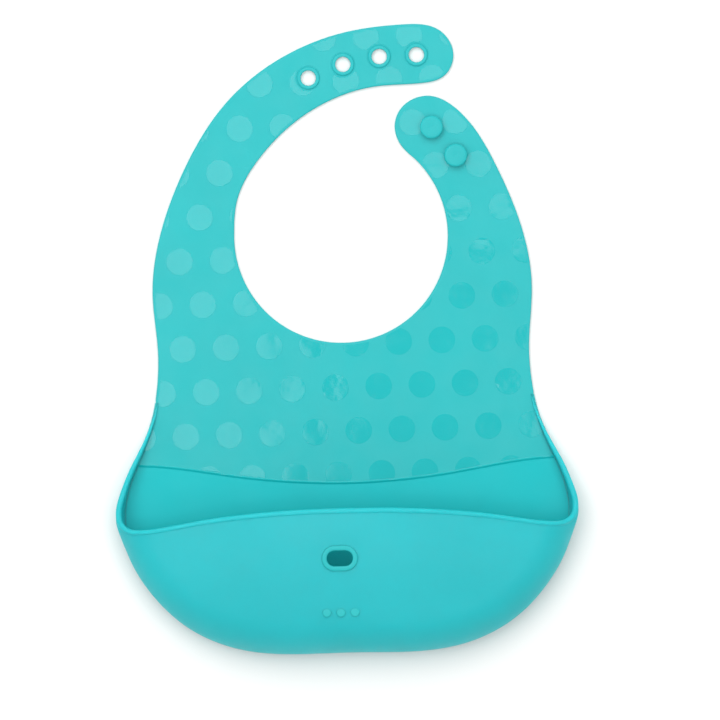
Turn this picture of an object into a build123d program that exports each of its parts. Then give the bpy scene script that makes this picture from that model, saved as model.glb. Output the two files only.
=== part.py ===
from build123d import *
from math import cos, radians, sin, sqrt
import os

# Silicone catch-pocket bib, lying open on its back.
#
# Frame: millimetres, +X to the right as the bib's front is looked at, +Y towards the neck straps, +Z out
# of the bib's front. The origin is under the middle of the bib's bounding box, on the plane it lies on.
#
# The real bib is one moulding. It is cut here where it flexes, so that each region is a solid of its own:
# a flexing region's moving side ends in a half-round edge on the hinge axis, and the side it turns
# against is squared off just clear of that edge.

# ---- driving dimensions ------------------------------------------------------------------------
SHEET = 1.8                # thickness of the moulded sheet
HALF_LENGTH = 156.5        # the strap's crown is this far above the origin, the pocket's foot this far below
NECK_RADIUS = 53.4
NECK_Y = 51.5              # centre of the neck opening
FOLD_Y = -20.0             # waist fold between chest and pocket
SHOULDER_Y = 61.0          # both straps bend on this line
CROWN_POINT = (-34.5, 119.5)   # where the hole strap bends a second time
CROWN_ANGLE = 126.5        # direction of that bend line, degrees from +X
KNUCKLE_GAP = 0.3          # clearance behind a half-round hinge edge
STRAP_PARTING = (22.0, 123.0)  # the stud strap is all to the right of and below this point
FAR = 200.0                # beyond every edge of the bib
HIGH = 90.0                # above everything on it

# strap fastening: holes on an arc, and two mushroom studs at the same pitch
HOLE_RADIUS = 3.8
HOLE_COUNT = 4
HOLE_ARC_CENTRE = (33.4, 27.9)
HOLE_ARC_RADIUS = 113.5
HOLE_STEP = 9.4            # degrees between holes along the arc
LAST_HOLE = 3.2            # the end hole's angle, clockwise from +Y
HOLE_RING_RADIUS = 5.7
RING_HEIGHT = 0.7
RING_CHAMFER = 0.3
STUD_PLACES = [(46.4, 104.8), (58.2, 90.5)]
STUD_NECK_RADIUS = 3.3
STUD_NECK_HEIGHT = 2.7
STUD_HEAD_RADIUS = 5.75
STUD_HEAD_HEIGHT = 1.9
STUD_HEAD_ROUND = 0.8

# pocket: a barrel-shaped front face, rounded into the upright edge wall
LIP_Y = -85.6
LIP_HEIGHT = 38.4          # outside height of the front wall at the middle of the lip
FRONT_RADIUS = 188.0       # front face's curvature from lip to foot
FRONT_SLOPE = 4.0          # degrees, its slope at the lip
BARREL_RADIUS = 576.0      # front face's curvature across the bib
EDGE_ROUND = 16.0          # rounding between the front face and the edge wall
WALL_END_Y = -28.0         # the edge wall has died away by here
BEAD_RADIUS = 1.5          # round bead along the pocket's rim
BLISTER_CENTRE = (0, -66, 0)   # the wall's sections all point at the upright line through here
BLISTER_CORE = 12.0
BLISTER_STEPS = 24

# pocket flap: the middle of the front wall, which flexes about its foot
FLAP_HALF_WIDTH = 85.0
FLAP_AXIS = (-150.0, SHEET)    # y and z of the line that it flexes about
FLAP_INNER_RADIUS = 27.0   # the flap begins this far from that line
FLAP_GAP = 0.4

# storage slot through the front wall, and the small round emblem under it
SLOT_PLACE = (-4.2, -109.0)
SLOT_LENGTH = 13.0
SLOT_WIDTH = 7.8
SLOT_RING_WIDTH = 2.5
EMBLEM_Y = -136.0
EMBLEM_DOT_RADIUS = 2.2
EMBLEM_PITCH = 7.0
EMBLEM_HEIGHT = 0.4

# ---- outline -----------------------------------------------------------------------------------
# half of the pocket's outline, from the middle of its foot up to the waist
POCKET_EDGE = [(0, -HALF_LENGTH), (54, -154.0), (81, -142.2), (99.4, -124.0), (110.2, -104.5),
               (113.4, -87.0), (107.8, -63.5), (98.2, -42.5), (93.6, -22.0)]
# from the waist up the side to the strap
CHEST_EDGE = [(93.6, -22.0), (92.8, -4.0), (94.8, 24.0), (91.0, 51.5), (77.6, 86.5)]
STUD_STRAP = [(60.5, 112.5), (45.0, 120.6), (31.4, 114.6), (28.1, 105.0), (30.4, 97.2), (37.7, 89.3)]
# from the neck up the inside of the hole strap, round its tip and back down its outside
HOLE_STRAP = [(-NECK_RADIUS, NECK_Y), (-51.6, 70.0), (-40.0, 91.1), (-13.4, 114.5), (18.8, 125.8),
              (42.0, 127.0), (53.4, 130.4), (58.2, 141.4), (51.8, 153.0), (32.0, HALF_LENGTH),
              (4.0, 153.2), (-25.2, 142.6), (-56.2, 119.0)]

# the rim, from the middle of the lip round the corner and up the side to the waist: x, y, z
RIM_HALF = [(0, LIP_Y, 37.5), (24, -85.9, 37.0), (48, -87.3, 35.5), (72.4, -90.0, 32.6), (92, -93.2, 29.5),
            (104.2, -94.4, 26.4), (111.0, -92.5, 21.2), (113.8, -86.5, 17.6), (112.0, -76.0, 13.2),
            (107.3, -64.0, 9.4), (101.7, -53.0, 6.3), (96.6, -42.0, 3.8), (93.4, -32.0, 2.2),
            (92.7, -22.0, 0.4)]
LIP_LOW = 25.0             # rim points above this height are on the lip, the others on the sides
RIM_PAST_CORNER = (-102.0, 30.0)   # y and z that carry the side's slope on past the corner
RIM_SIDE_END = -33.0       # the bead stops here, above the last of the edge wall

# where the pocket's back wall starts, from the middle of the bib outwards
SEAM_HALF = [(0, -72.3), (24, -71.4), (48, -69.0), (67, -66.0), (84, -63.3), (97, -61.9), (115, -61.2)]


def flipped(points):
    return [(-p[0], *p[1:]) for p in reversed(points)]


def bib_outline():
    """The flat outline of the whole bib, as one face: the neck's arc, and one spline round the rest."""
    around = flipped(POCKET_EDGE + CHEST_EDGE[1:])[:-1] + POCKET_EDGE + CHEST_EDGE[1:]
    points = HOLE_STRAP + around + STUD_STRAP
    neck = ThreePointArc(points[-1], (0, NECK_Y - NECK_RADIUS), points[0])
    return make_face([Spline(*points), neck])


def box_between(x0, x1, y0, y1, z0, z1):
    centre = ((x0 + x1) / 2, (y0 + y1) / 2, (z0 + z1) / 2)
    return Pos(*centre) * Box(x1 - x0, y1 - y0, z1 - z0)


def above_pocket(top_y):
    """Everything on the sheet from the pocket's foot up to a line across the bib."""
    return box_between(-FAR, FAR, -FAR, top_y, SHEET, HIGH)


def one_solid(shape):
    """The largest solid of a boolean's result, by itself."""
    return max(shape.solids(), key=lambda solid: solid.volume)


def prism(face, z0, z1):
    return extrude(Pos(0, 0, z0) * face, z1 - z0)


# ---- hinges ------------------------------------------------------------------------------------
KNUCKLE = SHEET / 2        # radius of a half-round hinge edge, and height of the hinge axis
RELIEF = KNUCKLE + KNUCKLE_GAP


def crossways(y):
    """Plane of a hinge across the bib: its X runs along the axis, its Y away from the chest."""
    x_dir = (-1, 0, 0) if y < 0 else (1, 0, 0)
    return Plane(origin=(0, y, KNUCKLE), x_dir=x_dir, z_dir=(0, 0, 1))


def crown_plane():
    run = (cos(radians(CROWN_ANGLE)), sin(radians(CROWN_ANGLE)), 0)
    return Plane(origin=(*CROWN_POINT, KNUCKLE), x_dir=tuple(-c for c in run), z_dir=(0, 0, 1))


def moving_side(plane):
    """What a sheet keeps on the moving side of a hinge: the half-plane and a round nose on the axis."""
    beyond = Pos(0, FAR / 2, 0) * Box(2 * FAR, FAR, HIGH)
    nose = Rot(0, 90, 0) * Cylinder(KNUCKLE, 2 * FAR)
    return plane * (beyond + nose)


def fixed_side(plane):
    """What a sheet keeps on the fixed side: it stops just clear of the nose."""
    return plane * (Pos(0, -RELIEF - FAR / 2, 0) * Box(2 * FAR, FAR, HIGH))


# ---- strap fastening ---------------------------------------------------------------------------
def hole_places():
    places = []
    for index in range(HOLE_COUNT):
        angle = radians(90 - LAST_HOLE + (HOLE_COUNT - 1 - index) * HOLE_STEP)
        x = HOLE_ARC_CENTRE[0] + HOLE_ARC_RADIUS * cos(angle)
        y = HOLE_ARC_CENTRE[1] + HOLE_ARC_RADIUS * sin(angle)
        places.append((x, y))
    return places


def hole_ring(place):
    """A grommet moulded through the strap, standing proud of its front."""
    height = SHEET + RING_HEIGHT
    ring = Cylinder(HOLE_RING_RADIUS, height) - Cylinder(HOLE_RADIUS, height)
    ring = chamfer(ring.edges().group_by(Axis.Z)[-1], RING_CHAMFER)
    return Pos(*place, height / 2) * ring


def stud_neck(place):
    return Pos(*place, SHEET + STUD_NECK_HEIGHT / 2) * Cylinder(STUD_NECK_RADIUS, STUD_NECK_HEIGHT)


def stud_head(place):
    head = Cylinder(STUD_HEAD_RADIUS, STUD_HEAD_HEIGHT)
    head = fillet(head.edges().filter_by(GeomType.CIRCLE), STUD_HEAD_ROUND)
    return Pos(*place, SHEET + STUD_NECK_HEIGHT + STUD_HEAD_HEIGHT / 2) * head


# ---- pocket ------------------------------------------------------------------------------------
def front_height(x, y):
    """Height of the front face over the table: an arc from lip to foot, carried across on a wider arc."""
    slope = radians(FRONT_SLOPE)
    arc_y = LIP_Y - FRONT_RADIUS * sin(slope)
    arc_z = LIP_HEIGHT - FRONT_RADIUS * cos(slope)
    middle = arc_z + sqrt(FRONT_RADIUS ** 2 - (min(y, LIP_Y) - arc_y) ** 2)
    pivot = LIP_HEIGHT - BARREL_RADIUS
    return pivot + sqrt((middle - pivot) ** 2 - x * x)


def blister_section(edge, where, inset):
    """Upright section through the pocket's edge wall, rounding and front face, towards BLISTER_CENTRE."""
    foot = edge.position_at(where)
    across = edge.tangent_at(where).cross(Vector(0, 0, 1))
    inward = Vector(*BLISTER_CENTRE) - foot
    span = inward.length
    inward = inward / span
    skew = abs(across.dot(inward))
    start = inset / skew
    turn = start + (EDGE_ROUND - inset) / skew

    def at(distance, z):
        point = foot + inward * distance
        return Vector(point.X, point.Y, z)

    def on_front(distance):
        point = foot + inward * distance
        return Vector(point.X, point.Y, front_height(point.X, point.Y) - inset)

    last = span - BLISTER_CORE
    low, high = at(start, on_front(start).Z + inset - EDGE_ROUND), on_front(turn)
    middle = on_front((turn + last) / 2)
    front = ThreePointArc(high, middle, on_front(last))
    bend = Spline(low, high, tangents=[(0, 0, 1), front % 0])
    return Wire([Line(at(start, inset), low), bend, front,
                 Line(on_front(last), at(last, inset)), Line(at(last, inset), at(start, inset))])


def blister(inset):
    """The pocket's closed form, up to the waist; with an inset, the space inside its wall."""
    edge = Spline(*flipped(POCKET_EDGE), *POCKET_EDGE[1:])
    sections = [blister_section(edge, i / BLISTER_STEPS, inset) for i in range(BLISTER_STEPS + 1)]
    return Solid.make_loft(sections)


def lip_line():
    """The lip seen from the front, from one edge of the bib to the other."""
    half = [(x, y) for x, y, z in RIM_HALF if z > LIP_LOW]
    return flipped(half) + half[1:]


def rim_cutter():
    """The space over the pocket's mouth: beyond the lip, and above the rim's run down each side."""
    lip = lip_line()
    mouth = make_face([
        Spline(*lip),
        Polyline(lip[-1], (FAR, lip[-1][1]), (FAR, 0), (-FAR, 0), (-FAR, lip[0][1]), lip[0]),
    ])
    side = [(y, z) for x, y, z in RIM_HALF if z < LIP_LOW]
    corner_y, corner_z = RIM_PAST_CORNER
    over = Plane.YZ * make_face([
        Spline(*side),
        Polyline(side[-1], (0, side[-1][1]), (0, HIGH), (corner_y, HIGH), (corner_y, corner_z), side[0]),
    ])
    return prism(mouth, 0, HIGH) & extrude(over, FAR, both=True)


def rim_bead():
    """The round bead along the whole rim."""
    path = Spline(*flipped(RIM_HALF), *RIM_HALF[1:])
    start = Plane(origin=path @ 0, z_dir=path % 0)
    bead = sweep(start * Circle(BEAD_RADIUS), path=path)
    return bead & above_pocket(RIM_SIDE_END)


def slot_prism(border, z0, z1):
    """The storage slot, with a border round it, as an upright prism."""
    outline = SlotOverall(SLOT_LENGTH + 2 * border, SLOT_WIDTH + 2 * border)
    return prism(Pos(*SLOT_PLACE) * outline, z0, z1)


def flap_core(radius):
    """Everything within a radius of the line that the flap flexes about."""
    y, z = FLAP_AXIS
    return Pos(0, y, z) * Rot(0, 90, 0) * Cylinder(radius, 2 * FAR)


def slot_ring():
    """The raised ring round the storage slot, as thick as the wall that it is moulded through."""
    base = front_height(*SLOT_PLACE)
    ring = slot_prism(SLOT_RING_WIDTH, base - SHEET, base + RING_HEIGHT)
    return ring - slot_prism(0, 0, HIGH)


def emblem_dots(pocket):
    """Three round dots that stand on the front wall."""
    dots = []
    for step in (-1, 0, 1):
        x = SLOT_PLACE[0] + step * EMBLEM_PITCH
        top = front_height(x, EMBLEM_Y) + EMBLEM_HEIGHT
        disc = Pos(x, EMBLEM_Y, top / 2) * Cylinder(EMBLEM_DOT_RADIUS, top)
        dots.append(max((disc - pocket).solids(), key=lambda solid: solid.center().Z))
    return Compound(dots)


def pocket_wall_nodes():
    pocket, bead = blister(0), rim_bead()
    wall = pocket - blister(SHEET) - rim_cutter()
    wall = one_solid(wall & above_pocket(WALL_END_Y)) - bead
    slit = FLAP_HALF_WIDTH + FLAP_GAP
    middle = box_between(-FLAP_HALF_WIDTH, FLAP_HALF_WIDTH, -FAR, 0, 0, HIGH)
    between_slits = box_between(-slit, slit, -FAR, -FAR / 2, 0, HIGH)
    left = box_between(-FAR, -slit, -FAR, 0, 0, HIGH)
    right = box_between(slit, FAR, -FAR, 0, 0, HIGH)
    flap = (wall & middle) - flap_core(FLAP_INNER_RADIUS) - slot_prism(SLOT_RING_WIDTH, 0, HIGH)
    foot = wall & between_slits & flap_core(FLAP_INNER_RADIUS - FLAP_GAP)
    return {
        "pocket_foot": one_solid(foot),
        "left_gusset": one_solid(wall & left),
        "right_gusset": one_solid(wall & right),
        "front_wall": one_solid(flap),
        "lip_bead": bead & middle,
        "left_rim_bead": bead & left,
        "right_rim_bead": bead & right,
        "storage_slot_ring": slot_ring(),
        "emblem_dots": emblem_dots(pocket),
    }


# ---- the bib -----------------------------------------------------------------------------------
def sheet_nodes():
    sheet = prism(bib_outline(), 0, SHEET)
    waist, shoulder, crown = crossways(FOLD_Y), crossways(SHOULDER_Y), crown_plane()
    seam_line = flipped(SEAM_HALF) + SEAM_HALF[1:]
    start, end = seam_line[0], seam_line[-1]
    below_seam = prism(make_face([
        Spline(*seam_line),
        Polyline(end, (end[0], -FAR), (start[0], -FAR), start),
    ]), -SHEET, 2 * SHEET)
    pocket = sheet & moving_side(waist)
    straps = sheet & moving_side(shoulder)
    left, top = STRAP_PARTING
    parted = box_between(left, FAR, 0, top, -SHEET, 2 * SHEET)
    stud_strap = one_solid(straps & parted)
    hole_strap = one_solid(straps - parted)
    tip = one_solid(hole_strap & moving_side(crown))
    for place in hole_places():
        tip = tip - Pos(*place) * Cylinder(HOLE_RING_RADIUS, 3 * SHEET)
    return {
        "chest_panel": one_solid(sheet & fixed_side(waist) & fixed_side(shoulder)),
        "pocket_panel": one_solid(pocket - below_seam),
        "pocket_back_wall": one_solid(pocket & below_seam),
        "stud_strap": stud_strap,
        "hole_strap_lower": one_solid(hole_strap & fixed_side(crown)),
        "hole_strap_tip": one_solid(tip),
    }


def bib():
    nodes = sheet_nodes()
    nodes.update(pocket_wall_nodes())
    for number, place in enumerate(hole_places(), start=1):
        nodes[f"hole_ring_{number}"] = hole_ring(place)
    for name, place in zip(("upper", "lower"), STUD_PLACES):
        nodes[f"{name}_stud_neck"] = stud_neck(place)
        nodes[f"{name}_stud_head"] = stud_head(place)
    return nodes


os.makedirs("parts", exist_ok=True)
for node, shape in bib().items():
    export_step(shape, f"parts/{node}.step")
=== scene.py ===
import math

import bmesh
import bpy
import numpy as np
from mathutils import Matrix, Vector
from mathutils.geometry import delaunay_2d_cdt


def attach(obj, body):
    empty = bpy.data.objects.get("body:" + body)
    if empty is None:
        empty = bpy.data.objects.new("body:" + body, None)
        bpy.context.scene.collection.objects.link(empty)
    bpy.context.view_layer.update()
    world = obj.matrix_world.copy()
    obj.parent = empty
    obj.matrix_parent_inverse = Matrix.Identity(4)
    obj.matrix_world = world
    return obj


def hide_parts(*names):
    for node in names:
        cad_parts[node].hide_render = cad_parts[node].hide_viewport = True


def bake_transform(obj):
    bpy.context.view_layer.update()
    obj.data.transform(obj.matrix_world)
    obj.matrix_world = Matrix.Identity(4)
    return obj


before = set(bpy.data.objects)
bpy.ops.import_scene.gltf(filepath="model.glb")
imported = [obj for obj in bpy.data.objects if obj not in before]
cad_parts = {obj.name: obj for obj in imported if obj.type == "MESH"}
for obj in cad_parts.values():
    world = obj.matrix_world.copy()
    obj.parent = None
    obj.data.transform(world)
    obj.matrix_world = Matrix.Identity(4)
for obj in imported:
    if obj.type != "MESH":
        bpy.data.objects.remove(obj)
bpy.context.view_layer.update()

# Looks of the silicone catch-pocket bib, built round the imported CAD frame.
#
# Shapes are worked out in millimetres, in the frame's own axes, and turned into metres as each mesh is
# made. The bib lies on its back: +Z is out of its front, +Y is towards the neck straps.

MM = 0.001

# ---- the bib's dimensions, in millimetres ------------------------------------------------------
HALF_LENGTH = 156.5
SHEET = 1.8
BACK_WALL = 1.5                # the pocket's back wall is a little thinner than the rest of the sheet
NECK_RADIUS = 53.4
NECK_Y = 51.5
FOLD_Y = -20.0                 # the pocket folds at the waist here
SHOULDER_Y = 61.0              # both straps bend here
CROWN = np.array([-34.5, 119.5])   # the long strap bends again at this point,
CROWN_ANGLE = math.radians(126.5)  # across a line in this direction
FLEX = 11.0                    # each bend is spread this far to both sides of its hinge line

POCKET_EDGE = [(0, -HALF_LENGTH), (54, -154.0), (81, -142.2), (99.4, -124.0), (110.2, -104.5),
               (113.4, -87.0), (107.8, -63.5), (98.2, -42.5), (93.6, -22.0)]
CHEST_EDGE = [(92.8, -4.0), (94.8, 24.0), (91.0, 51.5), (77.6, 86.5)]
STUD_STRAP = [(60.5, 112.5), (45.0, 120.6), (31.4, 114.6), (28.1, 105.0), (30.4, 97.2), (37.7, 89.3)]
HOLE_STRAP = [(-NECK_RADIUS, NECK_Y), (-51.6, 70.0), (-40.0, 91.1), (-13.4, 114.5), (18.8, 125.8),
              (42.0, 127.0), (53.4, 130.4), (58.2, 141.4), (51.8, 153.0), (32.0, HALF_LENGTH),
              (4.0, 153.2), (-25.2, 142.6), (-56.2, 119.0)]
SEAM_HALF = [(0, -72.3), (24, -71.4), (48, -69.0), (67, -66.0), (84, -63.3), (97, -61.9), (115, -61.2)]

HOLE_COUNT = 4
HOLE_ARC_CENTRE = (33.4, 27.9)
HOLE_ARC_RADIUS = 113.5
HOLE_STEP = 9.4                # degrees between holes along their arc
LAST_HOLE = 3.2                # the end hole's angle, clockwise from +Y
HOLE_RADIUS = 3.8
HOLE_RING_RADIUS = 5.7
RING_HEIGHT = 0.7
RING_LAP = 0.8                 # the sheet stops this far inside each ring's outer edge
GROOVE_DEPTH = 0.12            # of the groove round each ring
GROOVE_HALF = 0.5
STUD_PLACES = [(46.4, 104.8), (58.2, 90.5)]

LIP_Y = -85.6
LIP_HEIGHT = 38.4
FRONT_RADIUS = 188.0           # the front face's curvature from lip to foot
FRONT_SLOPE = math.radians(4.0)    # and its slope at the lip
BARREL_RADIUS = 576.0          # the front face's curvature across the bib
EDGE_ROUND = 16.0              # the rounding between the front face and the edge wall
RIM_HALF = [(0, LIP_Y, 37.5), (24, -85.9, 37.0), (48, -87.3, 35.5), (72.4, -90.0, 32.6), (92, -93.2, 29.5),
            (104.2, -94.4, 26.4), (111.0, -92.5, 21.2), (113.8, -86.5, 17.6), (112.0, -76.0, 13.2),
            (107.3, -64.0, 9.4), (101.7, -53.0, 6.3), (96.6, -42.0, 3.8), (93.4, -32.0, 2.2),
            (92.7, -22.0, 0.4)]
BEAD_RADIUS = 1.5
HALF_WALL = SHEET / 2
WALL_START_Y = -29.0           # the edge wall rises out of the sheet here
SEAM_SLOPE = 0.35              # the step down to the back wall is this wide
SEAM_RIB = 0.32                # a low rib this high runs along the seam, on its chest side
RIB_HALF = 0.6                 # half the rib's width
SLOT = np.array([-4.2, -109.0])
SLOT_LENGTH = 13.0
SLOT_WIDTH = 7.8
EMBLEM = np.array([-4.2, -136.0])
EMBLEM_PITCH = 7.0

DOT_RADIUS = 6.65
DOT_RISE = 0.06
DOT_STEP = 0.05                # width of the step round a dot
DOT_MARGIN = 1.2               # the dots stop this far inside the bib's edge,
SEAM_MARGIN = 1.45             # this far above the seam
RING_MARGIN = 0.9              # and this far outside the hole rings
DOT_TURN = math.radians(0.8)
DOT_PITCH = np.array([21.6, 21.85])
DOT_START = np.array([16.8, 19.6])

PANEL_COLOUR = (0.010, 0.431, 0.451)
# painted light: the pocket's back wall is the sheet's own silicone, given a brighter, more saturated colour
# that stands in for light inside the shaded pocket
BACK_WALL_PAINTED_LIGHT_COLOUR = (0.003, 0.466, 0.494)
# painted light: the pocket's wall is the sheet's own silicone, given a brighter, bluer colour that lifts the
# wall where the light falls short
WALL_PAINTED_LIGHT_COLOUR = (0.014, 0.458, 0.500)


# ---- curves ------------------------------------------------------------------------------------
def flipped(points):
    return [(-p[0], *p[1:]) for p in reversed(points)]


def evenly(line, step=None, count=None):
    """Points spaced evenly along a polyline."""
    line = np.asarray(line, float)
    run = np.append(0, np.cumsum(np.linalg.norm(np.diff(line, axis=0), axis=1)))
    if count is None:
        count = max(2, int(round(run[-1] / step)) + 1)
    spots = np.linspace(0, run[-1], count)
    return np.stack([np.interp(spots, run, line[:, k]) for k in range(line.shape[1])], axis=1)


def spline(points, step):
    """Evenly spaced points along the smooth cubic spline through some points."""
    p = np.array(points, float)
    chord = np.linalg.norm(np.diff(p, axis=0), axis=1)
    knot = np.append(0, np.cumsum(chord))
    last = len(p) - 1
    matrix, right = np.eye(last + 1), np.zeros_like(p)
    for i in range(1, last):
        matrix[i, i - 1:i + 2] = chord[i - 1], 2 * (chord[i - 1] + chord[i]), chord[i]
        right[i] = 6 * ((p[i + 1] - p[i]) / chord[i] - (p[i] - p[i - 1]) / chord[i - 1])
    bend = np.linalg.solve(matrix, right)
    t = np.linspace(0, knot[-1], 60 * last)
    i = np.clip(np.searchsorted(knot, t, side="right") - 1, 0, last - 1)
    h, u, v = chord[i, None], (t - knot[i])[:, None], (knot[i + 1] - t)[:, None]
    curve = (bend[i] * v ** 3 + bend[i + 1] * u ** 3) / (6 * h)
    curve += (p[i] / h - bend[i] * h / 6) * v + (p[i + 1] / h - bend[i + 1] * h / 6) * u
    return evenly(curve, step)


def arc(centre, radius, start, end, count):
    """Points on a circle's arc, with the angles in degrees."""
    angle = np.radians(np.linspace(start, end, count))
    return np.stack([centre[0] + radius * np.cos(angle), centre[1] + radius * np.sin(angle)], axis=1)


def smoothstep(value, low, high):
    t = np.clip((value - low) / (high - low), 0, 1)
    return t * t * (3 - 2 * t)


def tangents(loop, closed=True):
    if closed:
        step = np.roll(loop, -1, axis=0) - np.roll(loop, 1, axis=0)
    else:
        step = np.gradient(loop, axis=0)
    return step / np.linalg.norm(step, axis=1, keepdims=True)


def distance_to(points, line):
    """How far each point is from a polyline's points, in plan."""
    points = np.asarray(points, float)
    result = np.empty(len(points))
    for start in range(0, len(points), 2000):
        block = points[start:start + 2000, None, :2] - line[None, :, :2]
        result[start:start + 2000] = np.sqrt((block ** 2).sum(axis=2).min(axis=1))
    return result


def inside(points, loop):
    """Whether each point is inside a closed loop."""
    points = np.asarray(points, float)
    x, y = points[:, 0], points[:, 1]
    result = np.zeros(len(points), bool)
    for a, b in zip(loop, np.roll(loop, -1, axis=0)):
        if a[1] == b[1]:
            continue
        crosses = (a[1] > y) != (b[1] > y)
        result ^= crosses & (x < (b[0] - a[0]) * (y - a[1]) / (b[1] - a[1]) + a[0])
    return result


# ---- the outline, anticlockwise, with the material on its left ---------------------------------
def whole_outline():
    side = POCKET_EDGE + CHEST_EDGE
    around = spline(HOLE_STRAP + flipped(side)[:-1] + side + STUD_STRAP, 1.1)
    end = STUD_STRAP[-1]
    first = math.degrees(math.atan2(end[1] - NECK_Y, end[0]))
    neck = arc((0, NECK_Y), NECK_RADIUS, first, -180, 200)
    return np.vstack([around, neck[1:-1]])


OUTLINE = whole_outline()
INWARD = tangents(OUTLINE)[:, ::-1] * np.array([-1, 1])


def crossing(point, normal, nearest):
    """Where the outline crosses the line through point square to normal: its index there and the place."""
    side = (OUTLINE - point) @ normal
    after = np.roll(side, -1)
    hits = []
    for i in np.nonzero((side > 0) != (after > 0))[0]:
        t = side[i] / (side[i] - after[i])
        place = OUTLINE[i] * (1 - t) + OUTLINE[(i + 1) % len(OUTLINE)] * t
        hits.append((np.linalg.norm(place - nearest), i, place))
    return min(hits, key=lambda hit: hit[0])[1:]


def stretch(start, end):
    """The outline's indices from one crossing to the next."""
    first, last = (start[0] + 1) % len(OUTLINE), end[0]
    if first <= last:
        return np.arange(first, last + 1)
    return np.append(np.arange(first, len(OUTLINE)), np.arange(0, last + 1))


def region(runs):
    """A piece's outline, from pairs of crossings that the bib's own edge joins, with cuts between them.

    Returns its points, and how far each one moves for each millimetre of inset: a cut has none.
    """
    points, moves = [], []
    for k, (start, end) in enumerate(runs):
        following = runs[(k + 1) % len(runs)][0]
        index = stretch(start, end)
        gap = following[1] - end[1]
        along = gap / np.linalg.norm(gap)
        previous = runs[k - 1][1][1]
        back = previous - start[1]
        points += [start[1][None], OUTLINE[index], end[1][None]]
        moves += [(back / np.linalg.norm(back))[None], INWARD[index], along[None]]
        cut = evenly([end[1], following[1]], 2.0)[1:-1]
        points.append(cut)
        moves.append(np.zeros_like(cut))
    return np.vstack(points), np.vstack(moves)


# ---- meshes ------------------------------------------------------------------------------------
SHARP = math.radians(35.0)


def new_object(name, verts, faces, materials, material_of):
    """A smooth-shaded object from points in millimetres, with edges sharper than SHARP kept crisp."""
    mesh = bpy.data.meshes.new(name)
    mesh.from_pydata([tuple(float(c) * MM for c in v) for v in verts], [], faces)
    for material in materials:
        mesh.materials.append(material)
    mesh.polygons.foreach_set("material_index", material_of)
    work = bmesh.new()
    work.from_mesh(mesh)
    bmesh.ops.remove_doubles(work, verts=work.verts, dist=0.002 * MM)
    bmesh.ops.dissolve_degenerate(work, edges=work.edges, dist=0.001 * MM)
    bmesh.ops.recalc_face_normals(work, faces=work.faces)
    work.to_mesh(mesh)
    work.free()
    mesh.polygons.foreach_set("use_smooth", [True] * len(mesh.polygons))
    mesh.set_sharp_from_angle(angle=SHARP)
    mesh.update()
    obj = bpy.data.objects.new(name, mesh)
    bpy.context.scene.collection.objects.link(obj)
    return obj


class Shape:
    """Points and faces gathered for one mesh."""

    def __init__(self):
        self.verts, self.faces, self.kinds = [], [], []

    def add(self, points):
        first = sum(len(block) for block in self.verts)
        self.verts.append(np.asarray(points, float))
        return first

    def face(self, indices, kind=0):
        self.faces.append(tuple(int(i) for i in indices))
        self.kinds.append(kind)

    def grid(self, rows, closed=False, kind=0):
        """Quads between rows of points; closed joins each row's ends."""
        count = len(rows[0])
        first = self.add(np.vstack(rows))
        for r in range(len(rows) - 1):
            for c in range(count if closed else count - 1):
                a, b = first + r * count + c, first + r * count + (c + 1) % count
                self.face((a, b, b + count, a + count), kind)
        return first

    def object(self, name, materials):
        return new_object(name, np.vstack(self.verts), self.faces, materials, self.kinds)


def lathe(name, profile, place, materials, steps=72):
    """A turned piece, from a profile of (radius, height) that closes on itself or ends on the axis."""
    shape = Shape()
    tips = [(*place, height) for radius, height in profile if radius == 0]
    rows = [np.column_stack([arc(place, radius, 0, 360 - 360 / steps, steps), np.full(steps, height)])
            for radius, height in profile if radius > 0]
    first = shape.grid(rows if tips else rows + rows[:1], closed=True)
    for tip, row in zip(tips, (0, len(rows) - 1)):
        middle, base = shape.add([tip]), first + row * steps
        for c in range(steps):
            shape.face((middle, base + c, base + (c + 1) % steps))
    return shape.object(name, materials)


# ---- surface features of the sheet -------------------------------------------------------------
def hole_places():
    last = 90 - LAST_HOLE
    return arc(HOLE_ARC_CENTRE, HOLE_ARC_RADIUS, last + HOLE_STEP * (HOLE_COUNT - 1), last, HOLE_COUNT)


HOLES = hole_places()
SEAM = spline(flipped(SEAM_HALF) + SEAM_HALF[1:], 1.6)


def seam_line(offset):
    """The line where the pocket's back wall starts, moved along Y."""
    return SEAM + (0, offset)


def below_seam(points):
    """How far each point is below the seam, which is negative on the chest's side."""
    return np.interp(points[:, 0], SEAM[:, 0], SEAM[:, 1]) - points[:, 1]


def beyond_rings(points):
    """How far each point is outside the nearest hole ring."""
    return np.sqrt(((points[:, None] - HOLES[None]) ** 2).sum(axis=2)).min(axis=1) - HOLE_RING_RADIUS


def dot_places():
    """The dots' centres: a turned grid, every other row shifted by half, over more than the whole bib."""
    turn = np.array([[math.cos(DOT_TURN), -math.sin(DOT_TURN)], [math.sin(DOT_TURN), math.cos(DOT_TURN)]])
    places = np.array([turn @ (DOT_START + DOT_PITCH * (column + 0.5 * (row % 2), row))
                       for row in range(-6, 8) for column in range(-8, 9)])
    near = inside(places, OUTLINE) | (distance_to(places, OUTLINE) < DOT_RADIUS - DOT_MARGIN)
    return places[near & (below_seam(places) < DOT_RADIUS)]


DOTS = dot_places()


def dot_depth(points):
    """How far each point is inside a dot, which the bib's edge, the seam and the hole rings cut short."""
    circle = (DOT_RADIUS - np.sqrt(((points[:, None] - DOTS[None]) ** 2).sum(axis=2))).max(axis=1)
    edge = distance_to(points, OUTLINE) - DOT_MARGIN
    ring = beyond_rings(points) - RING_MARGIN
    return np.minimum.reduce([circle, edge, ring, -below_seam(points) - SEAM_MARGIN])


def thickness(points):
    """The sheet's thickness, with the step down to the pocket's back wall at the seam."""
    return SHEET + (BACK_WALL - SHEET) * np.clip(below_seam(points) / SEAM_SLOPE, 0, 1)


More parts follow.
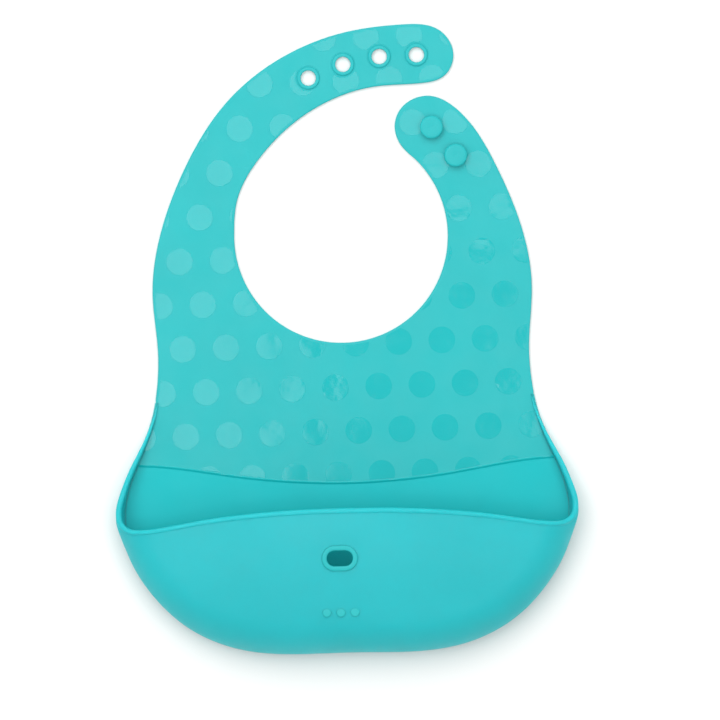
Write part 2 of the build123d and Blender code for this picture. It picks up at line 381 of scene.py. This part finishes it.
def top_height(points):
    """Height of the sheet's face, with the seam's rib, the grooves round the rings and the dots."""
    from_rib = (below_seam(points) + RIB_HALF) / RIB_HALF
    rib = SEAM_RIB * 0.5 * (1 + np.cos(np.pi * np.clip(from_rib, -1, 1)))
    groove = GROOVE_DEPTH * np.clip((GROOVE_HALF - np.abs(beyond_rings(points))) / GROOVE_DEPTH, 0, 1)
    return thickness(points) + rib - groove + DOT_RISE * np.clip(dot_depth(points) / DOT_STEP, 0, 1)


# The sheet's rounded edge, from its back to its face: how far in from the outline, and how high.
EDGE_LADDER = [(0.7, 0.0), (0.24, 0.08), (0.03, 0.3), (0.0, 0.55), (0.0, 1.2), (0.07, 1.5), (0.3, 1.72),
               (0.7, SHEET)]
TUCKED_INSET = 0.3             # the edge is upright, and this far in, where the pocket's wall covers it
# Rows of points, above and below the seam, that carry its step and its rib.
SEAM_ROWS = (0.0, -SEAM_SLOPE, -0.45, 0.15, 0.35, 0.6, 0.85, 1.05, 1.2, 1.3)
# Circles of points that carry the groove, measured from each ring's edge.
GROOVE_ROWS = (-0.35, GROOVE_HALF - GROOVE_DEPTH, GROOVE_HALF)
# Points along a bend stand in rows this far apart, and keep this far clear of a piece's edge.
BEND_ROW_GAP = 1.1
BEND_CLEARANCE = 1.2


def loop_edges(count, first=0):
    return [(first + i, first + (i + 1) % count) for i in range(count)]


def fill(boundary, holes, lines, loose):
    """Triangles over a region, with lines kept as edges: the points, the faces and the faces' middles."""
    points, edges = [boundary], loop_edges(len(boundary))
    total = len(boundary)
    for loop in holes:
        edges += loop_edges(len(loop), total)
        points.append(loop)
        total += len(loop)
    for line in lines:
        edges += [(total + i, total + i + 1) for i in range(len(line) - 1)]
        points.append(line)
        total += len(line)
    points.append(loose)
    flat = [Vector((float(x), float(y))) for x, y in np.vstack(points)]
    verts, _, faces, _, _, _ = delaunay_2d_cdt(flat, edges, [], 0, 1e-4)
    verts = np.array([(v.x, v.y) for v in verts])
    faces = np.array([tuple(f) for f in faces])
    middle = verts[faces].mean(axis=1)
    keep = inside(middle, boundary)
    for loop in holes:
        keep &= ~inside(middle, loop)
    return verts, faces[keep], middle[keep]


def sheet_piece(name, runs, loose, materials, holes=(), hidden_edge=None):
    """A piece of the flat sheet with rounded edges, raised dots and square-cut ends.

    loose holds extra points where the sheet bends. hidden_edge gives, from 0 to 1, how far each point of
    the edge is tucked under the pocket's wall.
    """
    boundary, moves = region(runs)
    tuck = np.zeros(len(boundary)) if hidden_edge is None else hidden_edge(boundary)
    shape, rings = Shape(), []
    for inset, z in EDGE_LADDER:
        shift = (inset * (1 - tuck) + TUCKED_INSET * tuck)[:, None] * moves
        rings.append(np.column_stack([boundary + shift, z * thickness(boundary) / SHEET]))
    shape.grid(rings, closed=True)
    circles = [arc(place, HOLE_RING_RADIUS - RING_LAP, 0, 350, 36) for place in holes]
    for circle in circles:
        flat = np.zeros(len(circle))
        shape.grid([np.column_stack([circle, flat]), np.column_stack([circle, flat + SHEET])], closed=True)

    top = rings[-1][:, :2]
    lines = dot_lines(top) + [seam_line(offset) for offset in SEAM_ROWS]
    for place in holes:
        lines += [arc(place, HOLE_RING_RADIUS + extra, 0, 360, 61) for extra in GROOVE_ROWS]
    lines = [line for line in lines if inside(line, top).any()]
    verts, faces, middle = fill(top, circles, lines, loose)
    on_edge = distance_to(verts, top) < 1e-3
    height = np.where(on_edge, thickness(verts), top_height(verts))
    first = shape.add(np.column_stack([verts, height]))
    below = below_seam(middle)
    shiny = (dot_depth(middle) > 0.02) | (np.abs(below + RIB_HALF) < RIB_HALF)
    # faces below the seam take the satin finish, whose colour carries painted light for the shaded pocket
    # inside
    kinds = np.where(shiny, POLISHED, np.where(below > 0, SATIN, MATTE))
    for triangle, kind in zip(faces, kinds):
        shape.face(first + triangle, int(kind))

    bottom = rings[0][:, :2]
    verts, faces, _ = fill(bottom, circles, [], loose)
    first = shape.add(np.column_stack([verts, np.zeros(len(verts))]))
    for triangle in faces:
        shape.face(first + triangle)
    return shape.object(name, materials)


def dot_lines(boundary):
    """The foot and the top of the dots' steps: round each dot, and along the lines that cut dots short."""
    lines = []
    for place in DOTS:
        if inside([place], boundary)[0] or distance_to([place], boundary)[0] < DOT_RADIUS:
            for radius in (DOT_RADIUS, DOT_RADIUS - DOT_STEP):
                lines.append(arc(place, radius, 0, 360, 49))
    for margin in (DOT_MARGIN, DOT_MARGIN + DOT_STEP):
        limit = OUTLINE + INWARD * margin
        lines.append(np.vstack([limit, limit[:1]]))
    for offset in (SEAM_MARGIN, SEAM_MARGIN + DOT_STEP):
        lines.append(seam_line(offset))
    for place in HOLES:
        for extra in (RING_MARGIN, RING_MARGIN + DOT_STEP):
            lines.append(arc(place, HOLE_RING_RADIUS + extra, 0, 360, 61))
    return lines


def bend_points(runs, centre, along, across, half_width, column_gap=3.1):
    """Rows of points parallel to a hinge line, so that a piece of sheet can bend there in a smooth curve.

    They keep clear of the piece's edge, which has points of its own.
    """
    rows = np.arange(-FLEX - 2, FLEX + 2.1, BEND_ROW_GAP)
    columns = np.arange(-half_width, half_width + 0.1, column_gap)
    points = []
    for k, row in enumerate(rows):
        shift = 0.5 * column_gap * (k % 2)
        points += [centre + across * row + along * (column + shift) for column in columns]
    points, edge = np.array(points), region(runs)[0]
    return points[inside(points, edge) & (distance_to(points, edge) > BEND_CLEARANCE)]


# ---- materials ---------------------------------------------------------------------------------
def silicone(name, colour, roughness, shine, grain, scatter):
    """Soft moulded silicone: faint cloudiness, a fine moulded grain, and a slow unevenness in its surface.

    grain is the fine texture's scale, strength and height; scatter is the weight and depth of the light
    that soaks in.
    """
    material = bpy.data.materials.new(name)
    material.use_nodes = True
    nodes, links = material.node_tree.nodes, material.node_tree.links
    shader = nodes["Principled BSDF"]
    place = nodes.new("ShaderNodeTexCoord")

    def noise(scale, detail):
        node = nodes.new("ShaderNodeTexNoise")
        node.inputs["Scale"].default_value = scale
        node.inputs["Detail"].default_value = detail
        links.new(place.outputs["Object"], node.inputs["Vector"])
        return node

    def bump(texture, strength, height):
        node = nodes.new("ShaderNodeBump")
        node.inputs["Strength"].default_value = strength
        node.inputs["Distance"].default_value = height
        links.new(texture.outputs["Fac"], node.inputs["Height"])
        return node

    cloud = nodes.new("ShaderNodeValToRGB")
    for end, position, share in zip(cloud.color_ramp.elements, (0.3, 0.7), (0.975, 1.02)):
        end.position = position
        end.color = (*[c * share for c in colour], 1)
    links.new(noise(28.0, 3.0).outputs["Fac"], cloud.inputs["Fac"])
    links.new(cloud.outputs["Color"], shader.inputs["Base Color"])

    smudge = nodes.new("ShaderNodeMapRange")
    smudge.inputs["From Min"].default_value = 0.3
    smudge.inputs["From Max"].default_value = 0.7
    smudge.inputs["To Min"].default_value = roughness * 0.88
    smudge.inputs["To Max"].default_value = roughness * 1.12
    links.new(noise(60.0, 4.0).outputs["Fac"], smudge.inputs["Value"])
    links.new(smudge.outputs["Result"], shader.inputs["Roughness"])

    scale, strength, height = grain
    fine = bump(noise(scale, 2.0), strength, height)
    slow = bump(noise(32.0, 2.0), 0.35, 0.0006)
    links.new(fine.outputs["Normal"], slow.inputs["Normal"])
    links.new(slow.outputs["Normal"], shader.inputs["Normal"])

    weight, depth = scatter
    shader.inputs["Subsurface Weight"].default_value = weight
    shader.inputs["Subsurface Radius"].default_value = (0.1, 1.0, 1.0)
    shader.inputs["Subsurface Scale"].default_value = depth
    shader.inputs["IOR"].default_value = 1.41
    shader.inputs["Specular IOR Level"].default_value = shine
    return material


MATTE_GRAIN = (2600.0, 0.5, 0.00004)
SATIN_GRAIN = (2600.0, 0.3, 0.00004)
POLISHED_GRAIN = (120.0, 0.5, 0.0002)
SHEET_SCATTER = (0.12, 0.0015)
WALL_SCATTER = (0.85, 0.0045)  # light comes through the pocket's wall from both of its sides

matte = silicone("silicone_matte", PANEL_COLOUR, 0.52, 0.45, MATTE_GRAIN, SHEET_SCATTER)
polished = silicone("silicone_polished", PANEL_COLOUR, 0.09, 0.5, POLISHED_GRAIN, SHEET_SCATTER)
# the back wall's satin finish, in a brighter copy of the sheet's colour: painted light on the pocket's shaded
# inside
satin = silicone("silicone_satin_painted_light", BACK_WALL_PAINTED_LIGHT_COLOUR, 0.45, 0.25, SATIN_GRAIN, SHEET_SCATTER)
# the pocket's wall, in a brighter copy of the sheet's colour: painted light on the wall
walls = silicone("silicone_wall_painted_light", WALL_PAINTED_LIGHT_COLOUR, 0.52, 0.38, MATTE_GRAIN, WALL_SCATTER)
SKIN = [matte, polished, satin]
MATTE, POLISHED, SATIN = range(3)  # places in SKIN


# ---- camera, light and floor -------------------------------------------------------------------
VIEW_WIDTH = 360.0             # millimetres of table across the picture
VIEW_CENTRE = (8.1, -10.7)
VIEW_DISTANCE = 6000.0
VIEW_ROLL = math.radians(-1.3)
LAMP_HEIGHT = 1.6              # this and the lamps' corners are in metres
LAMPS = [("key", (-1.20, -0.5), (-0.03, 1.8), 2.7), ("top", (-0.03, 0.07), (0.70, 1.8), 2.5),
         ("fill", (0.12, -0.9), (1.10, 0.07), 1.9)]
TABLE_HALF = 4.0
TABLE_Z = -0.0004


def add_camera():
    data = bpy.data.cameras.new("camera")
    data.sensor_width = 36.0
    data.lens = data.sensor_width * VIEW_DISTANCE / VIEW_WIDTH
    data.clip_end = 20.0
    camera = bpy.data.objects.new("camera", data)
    camera.location = (VIEW_CENTRE[0] * MM, VIEW_CENTRE[1] * MM, VIEW_DISTANCE * MM)
    camera.rotation_euler = (0, 0, VIEW_ROLL)
    bpy.context.scene.collection.objects.link(camera)
    bpy.context.scene.camera = camera


def add_area(name, low, high, radiance):
    """A softbox that faces straight down, between two corners in plan."""
    data = bpy.data.lights.new(name, "AREA")
    data.shape = "RECTANGLE"
    data.size, data.size_y = high[0] - low[0], high[1] - low[1]
    data.energy = radiance * math.pi * data.size * data.size_y
    lamp = bpy.data.objects.new(name, data)
    lamp.location = ((low[0] + high[0]) / 2, (low[1] + high[1]) / 2, LAMP_HEIGHT)
    lamp.visible_camera = False
    bpy.context.scene.collection.objects.link(lamp)


def add_floor():
    mesh = bpy.data.meshes.new("floor")
    corners = [(x * TABLE_HALF, y * TABLE_HALF, TABLE_Z) for x, y in ((-1, -1), (1, -1), (1, 1), (-1, 1))]
    mesh.from_pydata(corners, [], [(0, 1, 2, 3)])
    material = bpy.data.materials.new("floor")
    material.use_nodes = True
    nodes, links = material.node_tree.nodes, material.node_tree.links
    shader = nodes["Principled BSDF"]
    speckle = nodes.new("ShaderNodeTexNoise")
    speckle.inputs["Scale"].default_value = 3.0
    ramp = nodes.new("ShaderNodeValToRGB")
    ramp.color_ramp.elements[0].color = (0.86, 0.86, 0.86, 1)
    ramp.color_ramp.elements[1].color = (0.90, 0.90, 0.90, 1)
    links.new(speckle.outputs["Fac"], ramp.inputs["Fac"])
    links.new(ramp.outputs["Color"], shader.inputs["Base Color"])
    shader.inputs["Roughness"].default_value = 0.9
    mesh.materials.append(material)
    floor = bpy.data.objects.new("floor", mesh)
    bpy.context.scene.collection.objects.link(floor)


def add_world():
    """A pale room, brighter towards the horizon than overhead."""
    world = bpy.data.worlds.new("studio")
    world.use_nodes = True
    nodes, links = world.node_tree.nodes, world.node_tree.links
    place = nodes.new("ShaderNodeTexCoord")
    split = nodes.new("ShaderNodeSeparateXYZ")
    ramp = nodes.new("ShaderNodeValToRGB")
    ramp.color_ramp.elements[0].color = (0.95, 0.93, 0.90, 1)
    ramp.color_ramp.elements[1].color = (0.42, 0.41, 0.40, 1)
    links.new(place.outputs["Generated"], split.inputs["Vector"])
    links.new(split.outputs["Z"], ramp.inputs["Fac"])
    links.new(ramp.outputs["Color"], nodes["Background"].inputs["Color"])
    nodes["Background"].inputs["Strength"].default_value = 0.9
    bpy.context.scene.world = world


add_camera()
add_world()
add_floor()
for lamp in LAMPS:
    add_area(*lamp)
bpy.context.scene.view_settings.view_transform = "Standard"


# ---- the sheet, in four pieces, each with rows of points across one hinge line -------------------
STRAP_CUT_Y = 48.0             # the straps' skins start here, below the shoulders' hinge line
CROWN_CUT = FLEX + 1.5         # the long strap's end starts this far before the crown's hinge line
RIGHT = np.array([1.0, 0.0])
UP = np.array([0.0, 1.0])
ACROSS_CROWN = np.array([math.cos(CROWN_ANGLE), math.sin(CROWN_ANGLE)])
ALONG_CROWN = np.array([math.sin(CROWN_ANGLE), -math.cos(CROWN_ANGLE)])    # towards the strap's end

left_outer, left_inner, right_inner, right_outer = (
    crossing(np.array([0, STRAP_CUT_Y]), UP, (x, STRAP_CUT_Y)) for x in (-92, -53, 53, 92))
crown_cut = CROWN - ALONG_CROWN * CROWN_CUT
crown_inner, crown_outer = (
    crossing(crown_cut, ALONG_CROWN, crown_cut + ACROSS_CROWN * reach) for reach in (-18, 18))


def tucked(points):
    """1 where the sheet's edge is under the pocket's wall, 0 where it is bare."""
    by_pocket = (np.abs(points[:, 0]) > 50) | (points[:, 1] < -100)
    return np.where(by_pocket, smoothstep(WALL_START_Y - points[:, 1], -1, 1), 0.0)


panel_runs = [(left_outer, right_outer), (right_inner, left_inner)]
waist = bend_points(panel_runs, np.array([0, FOLD_Y]), RIGHT, UP, 100, 3.7)
panel = sheet_piece("front_panel", panel_runs, waist, SKIN, hidden_edge=tucked)
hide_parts("chest_panel", "pocket_panel", "pocket_back_wall")
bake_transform(panel)

stud_runs = [(right_outer, right_inner)]
right_shoulder = bend_points(stud_runs, np.array([70, SHOULDER_Y]), RIGHT, UP, 30)
stud_strap = sheet_piece("short_strap", stud_runs, right_shoulder, SKIN)
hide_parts("stud_strap")
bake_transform(stud_strap)

lower_runs = [(left_inner, crown_inner), (crown_outer, left_outer)]
left_shoulder = bend_points(lower_runs, np.array([-70, SHOULDER_Y]), RIGHT, UP, 30)
hole_lower = sheet_piece("long_strap", lower_runs, left_shoulder, SKIN)
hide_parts("hole_strap_lower")
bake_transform(hole_lower)

tip_runs = [(crown_inner, crown_outer)]
crown = bend_points(tip_runs, CROWN, ACROSS_CROWN, ALONG_CROWN, 26)
hole_tip = sheet_piece("long_strap_end", tip_runs, crown, SKIN, holes=HOLES)
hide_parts("hole_strap_tip")
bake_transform(hole_tip)


# ---- strap fastening -----------------------------------------------------------------------------
RING_TOP = SHEET + RING_HEIGHT
# Profiles are (radius, height), from one end round to the other.
RING_PROFILE = [(HOLE_RADIUS + 0.35, 0.0), (HOLE_RADIUS + 0.08, 0.12), (HOLE_RADIUS, 0.4), (HOLE_RADIUS, 2.0),
                (HOLE_RADIUS + 0.12, 2.35), (HOLE_RADIUS + 0.4, RING_TOP), (HOLE_RADIUS + 1.3, RING_TOP),
                (HOLE_RING_RADIUS - 0.25, 2.35), (HOLE_RING_RADIUS, 1.95), (HOLE_RING_RADIUS, 1.3),
                (HOLE_RING_RADIUS - 0.3, 1.2), (HOLE_RING_RADIUS - 0.3, 0.0)]
for number, place in enumerate(HOLES, start=1):
    ring = lathe(f"strap_hole_ring_{number}", RING_PROFILE, place, [matte])
    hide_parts(f"hole_ring_{number}")
    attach(ring, "hole_strap_tip")

STUD_PROFILE = [(0, 0.4), (4.2, 0.4), (4.2, 1.75), (3.75, 1.95), (3.4, 2.4), (3.3, 3.0), (3.3, 4.1),
                (3.6, 4.4), (4.6, 4.5), (5.35, 4.65), (5.7, 5.0), (5.75, 5.35), (5.65, 5.75), (5.3, 6.1),
                (4.7, 6.25), (3.6, 6.33), (1.1, 6.37), (0.85, 6.3), (0.6, 6.3), (0, 6.36)]
for name, place in zip(("upper", "lower"), STUD_PLACES):
    stud = lathe(f"{name}_stud", STUD_PROFILE, place, [matte])
    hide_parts(f"{name}_stud_neck", f"{name}_stud_head")
    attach(stud, "stud_strap")


# ---- the pocket's wall ---------------------------------------------------------------------------
WALL_THICKENS = (29.0, 62.0)   # the wall and its bead reach their full size over these
BEAD_GROWS = (36.0, 84.0)      # distances below the origin
RIM_CORNER_X = 111.0           # the rim's corners are beyond this, on both sides
FAN_Y = -88.0                  # below this the wall's sections fan out from the foot to the lip
FAN_BLEND = 18.0               # over this much of the foot, they change from the side's shape to the front's
WALL_SAMPLES = 46
CORNER_FLARE = 1.3             # the wall leans out this far under the rim's corners
TOE_RADIUS = 1.0               # of the fillet inside the wall's foot


def front_height(points):
    """Height of the pocket's front face: an arc from lip to foot, carried across the bib on a wider arc."""
    arc_y = LIP_Y - FRONT_RADIUS * math.sin(FRONT_SLOPE)
    arc_z = LIP_HEIGHT - FRONT_RADIUS * math.cos(FRONT_SLOPE)
    middle = arc_z + np.sqrt(FRONT_RADIUS ** 2 - (np.minimum(points[:, 1], LIP_Y) - arc_y) ** 2)
    pivot = LIP_HEIGHT - BARREL_RADIUS
    return pivot + np.sqrt((middle - pivot) ** 2 - points[:, 0] ** 2)


def side_section(upright, foot, inward, rim):
    """The wall's outer line beside the mouth: up the edge and over its rounding, as far as the rim."""
    top = upright[-1, 2]
    turn = np.radians(np.linspace(0, 60, 60))[1:]
    plan = foot + (EDGE_ROUND * (1 - np.cos(turn)))[:, None] * inward
    line = np.vstack([upright, np.column_stack([plan, top + EDGE_ROUND * np.sin(turn)])])
    keep = int(np.argmax(line[:, 2] > rim[2]))
    share = (rim[2] - line[keep - 1, 2]) / (line[keep, 2] - line[keep - 1, 2])
    end = line[keep - 1] + share * (line[keep] - line[keep - 1])
    line = np.vstack([line[:keep], end])
    flare = rim[:2] - inward * HALF_WALL - end[:2]
    line[:, :2] += smoothstep(line[:, 2], 0, rim[2])[:, None] * flare
    return line


def front_section(upright, foot, inward, rim):
    """The wall's outer line below the mouth: up the edge, over its rounding and up the front to the lip."""
    top = upright[-1, 2]
    reach = np.linalg.norm(rim[:2] - foot)    # covered in finer steps over the rounding
    rounding = EDGE_ROUND * 1.2 * (1 - np.cos(np.radians(np.linspace(0, 90, 60))))
    steps = np.append(rounding, np.linspace(20, 90, 80))
    steps = np.append(steps[(steps > 1e-4) & (steps < reach)], reach)
    plan = foot + steps[:, None] * (rim[:2] - foot) / reach
    depth = np.minimum(distance_to(plan, OUTLINE), EDGE_ROUND)
    drop = EDGE_ROUND - np.sqrt(EDGE_ROUND ** 2 - (EDGE_ROUND - depth) ** 2)
    line = np.vstack([upright, np.column_stack([plan, front_height(plan) - drop])])

    # Near the corners, the line leans and ends as the side's sections do.
    on_front = smoothstep(-foot[1], -FAN_Y, -FAN_Y + FAN_BLEND)
    run = np.append(np.zeros(len(upright)), steps / reach)
    length = np.append(0, np.cumsum(np.linalg.norm(np.diff(line, axis=0), axis=1)))
    late = smoothstep(length / length[-1], 0.35, 1)
    flare = CORNER_FLARE * smoothstep(line[:, 2], 0, top) * (1 - smoothstep(run, 0.1, 1.0))
    line[:, :2] -= ((1 - on_front) * (flare + HALF_WALL * late))[:, None] * inward
    line[:, 2] += late * (rim[2] + HALF_WALL * on_front - line[-1, 2])
    return line


def wall_section(foot, inward, rim):
    """The wall's outer line at one station, from the table to the rim."""
    top = front_height(foot[None])[0] - EDGE_ROUND
    upright = np.column_stack([np.tile(foot, (40, 1)), np.linspace(0, top, 40)])
    section = side_section if foot[1] > FAN_Y else front_section
    return section(upright, foot, inward, rim)


def pocket_stations():
    """Foot, inward direction and rim point of each section of the wall, from the left waist to the right."""
    left, right = (crossing(np.array([0, WALL_START_Y]), UP, (x, WALL_START_Y)) for x in (-95, 95))
    index = stretch(left, right)
    feet, inward = OUTLINE[index], INWARD[index]
    rim = spline(flipped(RIM_HALF) + RIM_HALF[1:], 0.4)

    def rim_corner(side):
        """The rim's point level with the start of the fan, on one side."""
        near = np.nonzero(side * rim[:, 0] > RIM_CORNER_X)[0]
        return near[np.argmin(np.abs(rim[near, 1] - FAN_Y))]

    fan = feet[:, 1] < FAN_Y
    left_end, right_end = rim_corner(-1), rim_corner(1)
    rims = np.zeros((len(feet), 3))
    rims[fan] = evenly(rim[left_end:right_end + 1], count=np.count_nonzero(fan))
    for side, part in ((-1, rim[:left_end]), (1, rim[right_end:][::-1])):
        rows = np.nonzero(~fan & (np.sign(feet[:, 0]) == side))[0]
        order = np.argsort(part[:, 1])
        for column in range(3):
            rims[rows, column] = np.interp(feet[rows, 1], part[order, 1], part[order, column])
    return feet, inward, rims


def smoothed(grid, passes=3):
    """A light smoothing from section to section."""
    for _ in range(passes):
        grid[1:-1] = 0.25 * grid[:-2] + 0.5 * grid[1:-1] + 0.25 * grid[2:]
    return grid


def unit(vectors):
    return vectors / np.linalg.norm(vectors, axis=-1, keepdims=True)


def bead_points(line, out, half, radius, back):
    """The round bead on the end of the wall's line."""
    normal = out[-1]
    along = unit(line[-1] - line[-4])
    along = unit(along - normal * (along @ normal))
    sweep = math.asin(min(1.0, back / radius))
    angle = np.linspace(-sweep, math.pi + sweep, 15)[1:-1, None]
    return line[-1] - normal * half + radius * (np.cos(angle) * normal + np.sin(angle) * along)


def closed_section(foot, inward, line, out):
    """The wall's whole section at one station: outside, bead, inside, fillet and foot."""
    half = HALF_WALL * (0.5 + 0.5 * smoothstep(-foot[1], *WALL_THICKENS))
    radius = half + (BEAD_RADIUS - HALF_WALL) * smoothstep(-foot[1], *BEAD_GROWS)
    back = math.sqrt(max(0.0, radius ** 2 - half ** 2))
    run = np.append(0, np.cumsum(np.linalg.norm(np.diff(line, axis=0), axis=1)))
    keep = np.linspace(0, max(run[-1] - back, 0.3 * run[-1]), WALL_SAMPLES)
    outside = np.stack([np.interp(keep, run, line[:, c]) for c in range(3)], axis=1)
    facing = unit(np.stack([np.interp(keep, run, out[:, c]) for c in range(3)], axis=1))
    within = (outside - facing * 2 * half)[::-1]

    ground = BACK_WALL if below_seam(foot[None])[0] > 0 else SHEET
    toe = min(TOE_RADIUS, max(0.15, 0.45 * (line[-1, 2] - ground)))
    within[:, 2] = np.maximum(within[:, 2], ground + toe)
    turn = np.radians(np.linspace(0, 90, 7))    # round the fillet; below it, the section is in the sheet
    depths = [*(2 * half + toe * (1 - np.cos(turn))), 2 * half + toe, 0.7, 0.3, 0.1]
    heights = [*(ground + 0.02 + toe * (1 - np.sin(turn))), ground - 0.25, 0.35, 0.0, 0.06]
    base = np.column_stack([foot + np.array(depths)[:, None] * inward, heights])
    outside[:, 2] = np.maximum(outside[:, 2], 0.25)
    return np.vstack([outside, bead_points(line, out, half, radius, back), within, base])


def pocket_wall():
    feet, inward, rims = pocket_stations()
    lines = [wall_section(*station) for station in zip(feet, inward, rims)]
    outer = smoothed(np.array([evenly(line, count=WALL_SAMPLES) for line in lines]))
    normal = unit(np.cross(np.gradient(outer, axis=0), np.gradient(outer, axis=1)))
    rows = [closed_section(*station) for station in zip(feet, inward, outer, normal)]
    shape = Shape()
    first = shape.grid(rows, closed=True)
    count = len(rows[0])
    shape.face(range(first, first + count))
    shape.face(reversed(range(first + (len(rows) - 1) * count, first + len(rows) * count)))
    return shape.object("pocket_wall", [walls])


def slot_outline(grow):
    """The storage slot's outline, grown on all sides: two half circles joined by straight sides."""
    radius, half = SLOT_WIDTH / 2 + grow, (SLOT_LENGTH - SLOT_WIDTH) / 2
    right = arc(SLOT + (half, 0), radius, -90, 90, 28)
    left = arc(SLOT - (half, 0), radius, 90, 270, 28)
    side = np.linspace(-half, half, 8)[1:-1]
    above = SLOT + np.column_stack([-side, np.full_like(side, radius)])
    below = SLOT + np.column_stack([side, np.full_like(side, -radius)])
    return np.vstack([right, above, left, below])


def cut_slot(wall):
    """Cuts an opening for the storage slot's ring through the front wall."""
    loop = slot_outline(1.0)
    shape = Shape()
    rows = [np.column_stack([loop, np.full(len(loop), height)]) for height in (25.0, 45.0)]
    first = shape.grid(rows, closed=True)
    shape.face(range(first, first + len(loop)))
    shape.face(range(first + len(loop), first + 2 * len(loop)))
    cutter = shape.object("slot_cutter", [matte])
    boolean = wall.modifiers.new("slot", "BOOLEAN")
    boolean.operation = "DIFFERENCE"
    boolean.solver = "EXACT"
    boolean.object = cutter
    evaluated = wall.evaluated_get(bpy.context.evaluated_depsgraph_get())
    wall.data = bpy.data.meshes.new_from_object(evaluated)
    wall.modifiers.clear()
    bpy.data.objects.remove(cutter)


wall = pocket_wall()
cut_slot(wall)
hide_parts("front_wall", "pocket_foot", "left_gusset", "right_gusset", "lip_bead", "left_rim_bead",
            "right_rim_bead")
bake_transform(wall)


# ---- storage slot's ring and the emblem ------------------------------------------------------------
def slot_ring():
    """The raised ring round the slot; its profile is (distance out from the slot, rise above the front)."""
    profile = [(0.0, -2.4), (0.0, 0.3), (0.15, 0.6), (0.5, 0.75), (1.9, 0.75), (2.25, 0.6), (2.45, 0.25),
               (2.5, -0.15), (2.5, -0.8), (1.2, -0.8), (1.2, -2.4)]
    loops = [(slot_outline(out), rise) for out, rise in profile]
    rows = [np.column_stack([loop, front_height(loop) + rise]) for loop, rise in loops]
    shape = Shape()
    shape.grid(rows + rows[:1], closed=True)
    return shape.object("slot_ring", [matte])


ring = slot_ring()
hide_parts("storage_slot_ring")
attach(ring, "pocket_front")

BUTTON_PROFILE = [(0, -0.6), (2.2, -0.6), (2.2, 0.1), (2.1, 0.28), (1.85, 0.38), (1.2, 0.42), (0, 0.43)]
for number, shift in enumerate((-EMBLEM_PITCH, 0.0, EMBLEM_PITCH), start=1):
    spot = EMBLEM + (shift, 0)
    ground = front_height(spot[None])[0]
    button = lathe(f"emblem_dot_{number}", [(r, ground + z) for r, z in BUTTON_PROFILE], spot, [matte], 48)
    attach(button, "pocket_front")
    if number == 1:
        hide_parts("emblem_dots")
